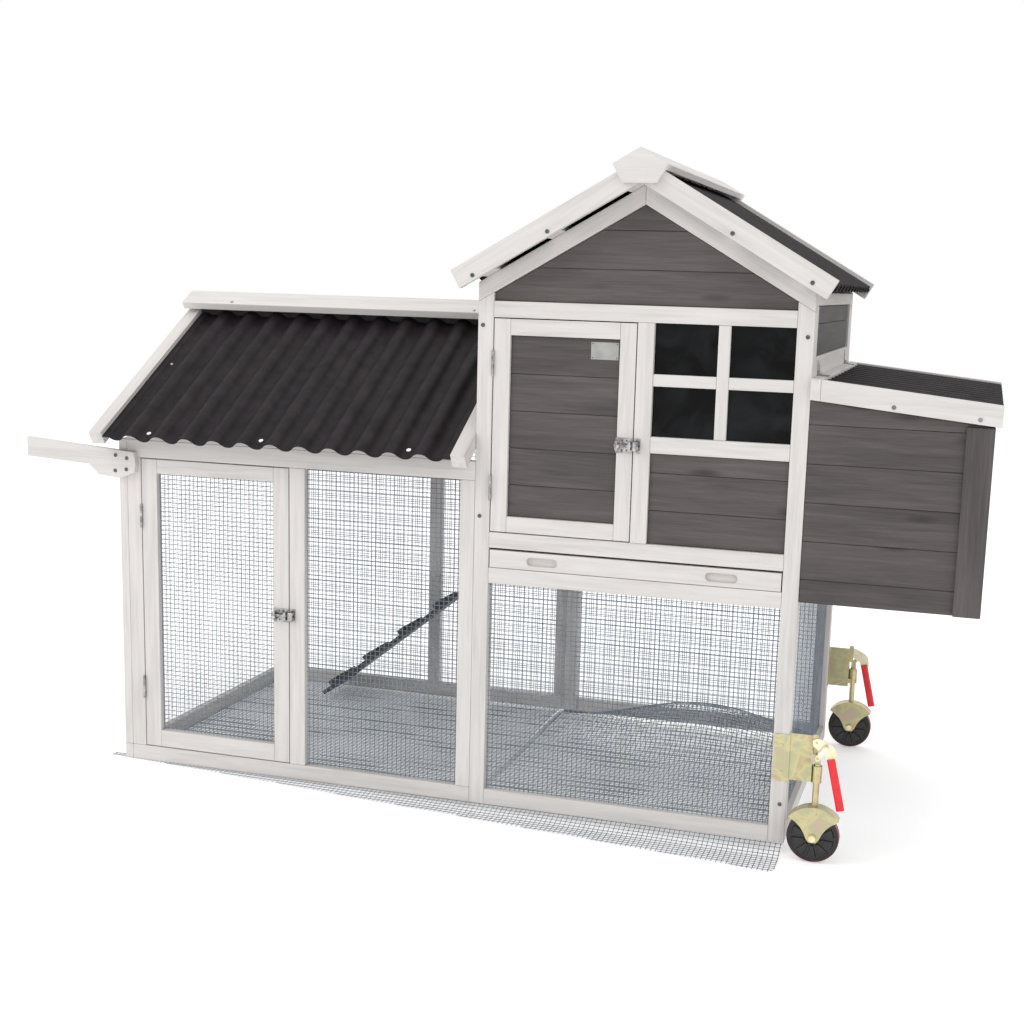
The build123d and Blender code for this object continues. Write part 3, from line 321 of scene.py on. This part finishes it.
def timber(node, mat, bevel=0.0015):
    """Timber piece with eased edges and its grain along each piece's length, in place of the CAD node."""
    bm = node_bmesh(node)
    bmesh.ops.dissolve_limit(bm, angle_limit=math.radians(1), verts=bm.verts, edges=bm.edges)
    sharp = [e for e in bm.edges if len(e.link_faces) == 2 and e.calc_face_angle(0) > math.radians(28)]
    bmesh.ops.bevel(bm, geom=sharp, offset=bevel, segments=2, profile=0.5, affect="EDGES", clamp_overlap=True)
    bm.verts.ensure_lookup_table()
    grain = np.zeros((len(bm.verts), 3), np.float32)
    bm.verts.index_update()
    for group in islands(bm):
        co = np.array([v.co for v in group], float)
        mid = (co.min(0) + co.max(0)) / 2
        axis = np.linalg.svd(co - co.mean(0), full_matrices=False)[2][0]
        spread = co.max(0) - co.min(0)
        if spread.max() > 1.5 * np.sort(spread)[1]:
            flat = np.zeros(3)
            flat[int(np.argmax(spread))] = 1
            if abs(axis @ flat) > 0.98:
                axis = flat
        helper = np.array([0, 0, 1.0]) if abs(axis[2]) < 0.8 else np.array([0, 1.0, 0])
        second = np.cross(helper, axis)
        second /= np.linalg.norm(second)
        third = np.cross(axis, second)
        shift = np.array([rng.uniform(0, 9) for _ in range(3)])
        local = np.stack([(co - mid) @ axis, (co - mid) @ second, (co - mid) @ third], 1) + shift
        for v, g in zip(group, local):
            grain[v.index] = g
    o = make(f"{node}_timber", bm, mat, nodes[node]["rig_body"])
    a = o.data.attributes.new("grain", "FLOAT_VECTOR", "POINT")
    a.data.foreach_set("vector", grain.ravel())
    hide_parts(node)


PITCH = 0.0127           # half-inch mesh
SIDE_WIRE = 0.00045      # drawn wire radius in panels across the coop
FACE_WIRE = 0.00092      # drawn wire radius in all other panels
SEAM_WIRE = 0.0013


def prism(bm, a, b, radius):
    """Thin four-sided wire from a to b."""
    d = (b - a).normalized()
    up = Vector((0, 0, 1)) if abs(d.z) < 0.9 else Vector((1, 0, 0))
    u = d.cross(up).normalized() * radius
    w = d.cross(u).normalized() * radius
    ring = [u, w, -u, -w]
    first = [bm.verts.new(a + r) for r in ring]
    last = [bm.verts.new(b + r) for r in ring]
    for i in range(4):
        j = (i + 1) % 4
        bm.faces.new((first[i], first[j], last[j], last[i]))
    bm.faces.new(first[::-1])
    bm.faces.new(last)


def hull_order(pts):
    """Corner points of a convex outline, in order."""
    pts = np.unique(np.round(pts, 6), axis=0)
    mid = pts.mean(0)
    return pts[np.argsort(np.arctan2(pts[:, 1] - mid[1], pts[:, 0] - mid[0]))]


def crossing(outline, axis, value):
    """Where the line coordinate[axis] = value crosses a convex outline: the other coordinate's range."""
    hits = []
    for p, q in zip(outline, np.roll(outline, -1, 0)):
        lo, hi = sorted((p[axis], q[axis]))
        if hi - lo > 1e-9 and lo <= value <= hi:
            t = (value - p[axis]) / (q[axis] - p[axis])
            hits.append(p[1 - axis] + t * (q[1 - axis] - p[1 - axis]))
    return (min(hits), max(hits)) if len(hits) > 1 and max(hits) - min(hits) > 0.004 else None


def wire_panels(node, mat, lift=None, steps=1, back=None):
    """Welded wire mesh in place of each flat sheet of a CAD node. Lift gives the height of a lying sheet."""
    source = node_bmesh(node)
    bm = bmesh.new()
    for group in islands(source):
        co = np.array([v.co for v in group], float)
        thin = int(np.argmin(co.max(0) - co.min(0)))
        ua, va = [i for i in range(3) if i != thin]
        level = (co[:, thin].max() + co[:, thin].min()) / 2
        radius = SIDE_WIRE if thin == 0 else FACE_WIRE
        outline = hull_order(co[:, [ua, va]])
        for axis, sign in ((0, -1), (1, 1)):
            lo, hi = outline[:, axis].min(), outline[:, axis].max()
            count = int((hi - lo - 0.003) / PITCH)
            start = (lo + hi - count * PITCH) / 2
            for i in range(count + 1):
                value = start + i * PITCH
                span = crossing(outline, axis, value)
                if not span:
                    continue
                ends = []
                for k in range(steps + 1):
                    other = span[0] + (span[1] - span[0]) * k / steps
                    p = Vector((0, 0, 0))
                    p[ua if axis == 0 else va] = value
                    p[va if axis == 0 else ua] = other
                    p[thin] = level + sign * radius
                    if lift:
                        p.z = lift(p.x, p.y) + sign * radius
                    ends.append(p)
                for a, b in zip(ends[:-1], ends[1:]):
                    prism(bm, a, b, radius)
    source.free()
    o = make(f"{node}_wires", bm, mat, nodes[node]["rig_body"])
    # wires on the back wall take the lighter copy of the wire colour, painted light
    if back:
        o.data.materials.append(back)
        rear = at(0, DEPTH - 38, 0).y
        for p in o.data.polygons:
            p.material_index = int(p.center.y > rear)
    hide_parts(node)


def paint(node, mat):
    """Gives a carried-over CAD node its finish."""
    data = nodes[node].data
    data.materials.clear()
    data.materials.append(mat)


def screw_bmesh(bm, centre, normal, radius=0.0035, height=0.0012):
    """Countersunk cross-head screw, seen as a low disc with a cross recess."""
    rot = normal.to_track_quat("Z", "Y").to_matrix().to_4x4()
    base = Matrix.Translation(centre) @ rot
    bmesh.ops.create_cone(bm, cap_ends=True, segments=14, radius1=radius, radius2=radius * 0.75,
                          depth=height, matrix=base @ Matrix.Translation((0, 0, height / 2)))
    for turn in (0, math.pi / 2):
        m = base @ Matrix.Rotation(turn + 0.4, 4, "Z") @ Matrix.Translation((0, 0, height))
        bmesh.ops.create_cube(bm, size=1, matrix=m @ Matrix.Diagonal((radius * 1.1, radius * 0.22, 0.0003, 1)))


# ------------------------------------------------------------------ timber
for name in ("house_front_frame", "house_back_frame", "house_side_rails", "run_front_frame", "run_back_frame",
             "run_end_frame", "run_barge_boards", "window_muntins", "nest_lid_frame", "tray_front",
             "carry_handles", "run_door_frame", "house_door_frame"):
    timber(name, WHITE, 0.0016)
for name in ("house_barge_boards", "ridge_caps"):
    timber(name, WHITE, 0.0018)
# grey boards: real grey stain, darkened with painted shade from the roof overhang
for name in ("front_wall_boards", "back_wall_boards", "side_wall_boards", "nest_box_shell", "nest_corner_trims",
             "house_door_boards"):
    timber(name, GREY_STAIN_AND_SHADE, 0.0024)
timber("pop_door_runners", GREY_STAIN_AND_SHADE, 0.0012)
timber("roof_purlins", WHITE, 0.0016)
timber("perch", BARE, 0.0016)
timber("ramp", RAMP, 0.0014)
paint("pop_door", plain_material("pop_door_paint", (0.09, 0.08, 0.078), (0.15, 0.135, 0.13), 0.6))

# ------------------------------------------------------------------ carried-over pieces
for name in ("house_roof_sheets", "run_roof_sheets", "nest_lid_sheet"):
    paint(name, ROOF)
for name in ("hinge_fixed_leaves", "latch_keepers", "run_door_fittings", "run_door_bolt", "house_door_fittings",
             "house_door_bolt"):
    paint(name, STEEL)
paint("nest_lid_fittings", LID_STEEL)
paint("frame_bolts", BOLT)
paint("window_pane", GLASS)
paint("tray_pan", TRAY)
paint("house_door_plate", PLATE)
for end in ("front", "rear"):
    paint(f"{end}_wheel_bracket", ZINC)
    paint(f"{end}_wheel_plunger", ZINC)
    paint(f"{end}_wheel_link", PALE_ZINC)
    paint(f"{end}_wheel_lever", PALE_ZINC)
    paint(f"{end}_wheel_grip", GRIP)
    paint(f"{end}_wheel_hub", HUB)
    paint(f"{end}_wheel_tread", TREAD)

# ------------------------------------------------------------------ wire mesh
for name in ("run_wire_mesh", "house_wire_mesh", "run_door_mesh"):
    wire_panels(name, WIRE, back=BACK_WIRE_PAINTED_LIGHT)


def floor_lift(x, y):
    """The floor mesh lies on the ground between its staples and humps up under the house."""
    hump = at(1500, 790, 0)
    away = ((x - hump.x) / 0.30) ** 2 + ((y - hump.y) / 0.16) ** 2
    edge = min(abs(y - at(0, 40, 0).y), abs(y - at(0, DEPTH - 40, 0).y)) / 0.06
    rise = 0.098 * math.exp(-away) * min(1.0, edge)
    ripple = 0.0016 * math.sin(x * 13 + 0.4) * math.cos(y * 11)
    return BASE / 1000 + 0.0042 + rise + ripple


wire_panels("floor_wire_mesh", FLOOR_WIRE, floor_lift, 24)
# folded selvedges of the two floor sheets, side by side where they meet
bm = bmesh.new()
for k in range(4):
    x = HOUSE_LEFT - 6 + 4 * k
    prism(bm, at(x, 42, 4), at(x, DEPTH - 42, 4), SEAM_WIRE)
o = make("floor_mesh_seam", bm, FLOOR_WIRE, "coop")

tilt = BASE / WHEEL_X    # the ground drops this much per unit along the coop


def ground(x):
    """Height of the ground under the coop as it stands, right end lifted on its wheels."""
    return BASE / 1000 - tilt * (x - LEFT / 1000) - 0.0016


def apron_lift(x, y):
    """The apron leaves the frame's underside and sags to the ground in front."""
    edge = (FRONT + 22) / 1000
    away = max(0.0, edge - y)
    top = BASE / 1000 - 0.0012
    low = ground(x) + 0.0022
    t = min(1.0, away / 0.075)
    t = t * t * (3 - 2 * t)
    wave = 0.0012 * math.sin(x * 19 + y * 31) * t
    return max(low, top + (low - top) * t + wave)


wire_panels("apron_mesh", FLOOR_WIRE, apron_lift, 12)

# ------------------------------------------------------------------ wheel ribs and axle nuts
RIB_COUNT = 10
RIB_INNER, RIB_OUTER = 0.019, 0.052      # radii between which a rib lies
HUB_FACE, RIB_FACE = 0.0113, 0.0150      # from the wheel's middle to the rib's foot and top


def rib(bm, hub, face, start):
    """Raised facet on one side of a wheel, narrower at its top, from the angle start on."""
    a0, a1 = math.radians(start + 5), math.radians(start + 31)
    outline = ((RIB_INNER, a0 + 0.05), (RIB_OUTER, a0), (RIB_OUTER, (a0 + a1) / 2), (RIB_OUTER, a1),
               (RIB_INNER, a1 - 0.05))
    pts = [(r * math.cos(a), r * math.sin(a)) for r, a in outline]
    mx, mz = (sum(p[i] for p in pts) / 5 for i in (0, 1))
    low = [bm.verts.new(hub + Vector((x, face * HUB_FACE, z))) for x, z in pts]
    top = [bm.verts.new(hub + Vector((mx + (x - mx) * 0.86, face * RIB_FACE, mz + (z - mz) * 0.86)))
           for x, z in pts]
    for k in range(5):
        m = (k + 1) % 5
        bm.faces.new((low[k], low[m], top[m], top[k]))
    bm.faces.new(top)
    bm.faces.new(low[::-1])


for end, y in (("front", -18.0), ("rear", DEPTH + 18.0)):
    bm = bmesh.new()
    for face in (-1, 1):
        for i in range(RIB_COUNT):
            rib(bm, at(WHEEL_X, y, AXLE_Z), face, i * 360 / RIB_COUNT)
    bmesh.ops.recalc_face_normals(bm, faces=bm.faces)
    o = make(f"{end}_wheel_ribs", bm, HUB, f"{end}_wheel")
    bm = bmesh.new()
    for side in (-1, 1):
        place = Matrix.Translation(at(WHEEL_X, y + side * 24.6, AXLE_Z)) @ Matrix.Rotation(math.pi / 2, 4, "X")
        bmesh.ops.create_cone(bm, cap_ends=True, segments=6, radius1=0.0095, radius2=0.0088, depth=0.006,
                              matrix=place)
    o = make(f"{end}_axle_nuts", bm, PALE_ZINC, f"{end}_plunger")

# ------------------------------------------------------------------ dark strips under the run's ridge cap, painted shade
RUN_RIDGE = 1251.6       # height of the run rafters' meeting point
cosine, sine = math.cos(ROOF_SLOPE), math.sin(ROOF_SLOPE)
bm = bmesh.new()
for side in (-1, 1):
    ring = []
    for along, n in ((9, -19), (22, -19), (22, 13), (-6, 13)):    # down the slope, and out from it
        y = DEPTH / 2 + side * (along * cosine + n * sine)
        ring.append((y, RUN_RIDGE - along * sine + n * cosine))
    ends = [[bm.verts.new(at(x, y, z)) for y, z in ring] for x in (-1, 982)]
    bm.faces.new(ends[0])
    bm.faces.new(ends[1][::-1])
    for k in range(4):
        m = (k + 1) % 4
        bm.faces.new((ends[0][k], ends[0][m], ends[1][m], ends[1][k]))
bmesh.ops.recalc_face_normals(bm, faces=bm.faces)
# near-black strips stand for the shade under the ridge cap: painted shade
shade_paint = plain_material("ridge_shade_paint", (0.02, 0.018, 0.02), (0.04, 0.036, 0.038), 0.9)
o = make("ridge_shade_strips", bm, shade_paint, "coop")

# ------------------------------------------------------------------ small screws
forward_face = Vector((0, -1, 0))
front_slope = Vector((0, -sine, cosine))
LATCHES = (("run_door", 504.5, 453.0), ("house_door", 1424.5, 961.0))    # door's free edge, latch height


def screws(name, places, normal, mat, body, **sizes):
    """One piece holding a screw at each place."""
    bm = bmesh.new()
    for place in places:
        screw_bmesh(bm, at(*place), normal, **sizes)
    o = make(name, bm, mat, body)


screws("run_roof_screws", ((27.5, 232.3, 1088.4), (116.7, 419.6, 1263.9), (862.0, 419.6, 1263.9)),
       front_slope, STEEL, "coop", radius=0.0046, height=0.0018)
screws("keeper_screws", [(edge + 11.5, -1.8, z + dz) for _, edge, z in LATCHES for dz in (-12, 12)],
       forward_face, SCREW, "coop", radius=0.0025)
for body, edge, z in LATCHES:
    screws(f"{body}_screws", [(edge + dx, -1.8, z + dz) for dx in (-26, -14) for dz in (-12, 12)],
           forward_face, SCREW, body, radius=0.0025)
screws("plate_rivets", [(x, 7.5, z) for x in (1315, 1376) for z in (1169, 1203)],
       forward_face, SCREW, "house_door", radius=0.0016, height=0.0007)

# ------------------------------------------------------------------ ground, light, camera
GROUND_HALF = 14         # metres
bm = bmesh.new()
corners = [(a * GROUND_HALF, b * GROUND_HALF) for a, b in ((-1, -1), (1, -1), (1, 1), (-1, 1))]
bm.faces.new([bm.verts.new((x, y, ground(x) - 0.0002)) for x, y in corners])
me = bpy.data.meshes.new("ground")
bm.to_mesh(me)
bm.free()
g = Shader("ground", 0.9)
g.color(g.ramp(g.noise(g.coords(), 3, 2), [(0.3, (0.86, 0.86, 0.86)), (0.7, (0.89, 0.89, 0.89))]))
# the ground glows to wash out the soft shadows the coop casts on it: painted light
g.bsdf.inputs["Emission Color"].default_value = (1, 1, 1, 1)
g.bsdf.inputs["Emission Strength"].default_value = 0.32
me.materials.append(g.mat)
floor = bpy.data.objects.new("ground", me)
bpy.context.scene.collection.objects.link(floor)

world = bpy.data.worlds.new("studio")
world.use_nodes = True
backdrop = world.node_tree.nodes["Background"]
backdrop.inputs["Color"].default_value = (1, 1, 1, 1)
backdrop.inputs["Strength"].default_value = 1.0
bpy.context.scene.world = world
bpy.context.scene.view_settings.view_transform = "Standard"


def area(name, place, aim, energy, width):
    """Square area light at a place, turned to its aim."""
    data = bpy.data.lights.new(name, "AREA")
    data.energy = energy
    data.size = width
    lamp = bpy.data.objects.new(name, data)
    lamp.location = place
    lamp.rotation_mode = "QUATERNION"
    lamp.rotation_quaternion = (Vector(aim) - Vector(place)).to_track_quat("-Z", "Y")
    bpy.context.scene.collection.objects.link(lamp)


area("key", (-3.4, -3.6, 4.4), (0, 0, 0.6), 70, 2.6)
area("fill", (3.8, -3.2, 2.8), (0.3, 0, 0.7), 20, 2.4)
area("top", (0.2, 0.6, 5.2), (0, 0, 0.6), 35, 3.2)

azimuth, pitch, roll = math.radians(16.20), math.radians(10.29), math.radians(1.694)
forward = Vector((-math.sin(azimuth) * math.cos(pitch), math.cos(azimuth) * math.cos(pitch), -math.sin(pitch)))
right = Vector((math.cos(azimuth), math.sin(azimuth), 0))
up = right.cross(forward)
cam_right = right * math.cos(roll) + up * math.sin(roll)
cam_up = up * math.cos(roll) - right * math.sin(roll)
data = bpy.data.cameras.new("camera")
data.sensor_width = 36.0
data.lens = 51.57
data.shift_x = -0.0383
data.shift_y = 0.0379
camera = bpy.data.objects.new("camera", data)
camera.matrix_world = Matrix.Translation(at(2234.1, -3465.7, 1341.3)) @ Matrix((
    (cam_right.x, cam_up.x, -forward.x, 0),
    (cam_right.y, cam_up.y, -forward.y, 0),
    (cam_right.z, cam_up.z, -forward.z, 0),
    (0, 0, 0, 1),
))
bpy.context.scene.collection.objects.link(camera)
bpy.context.scene.camera = camera
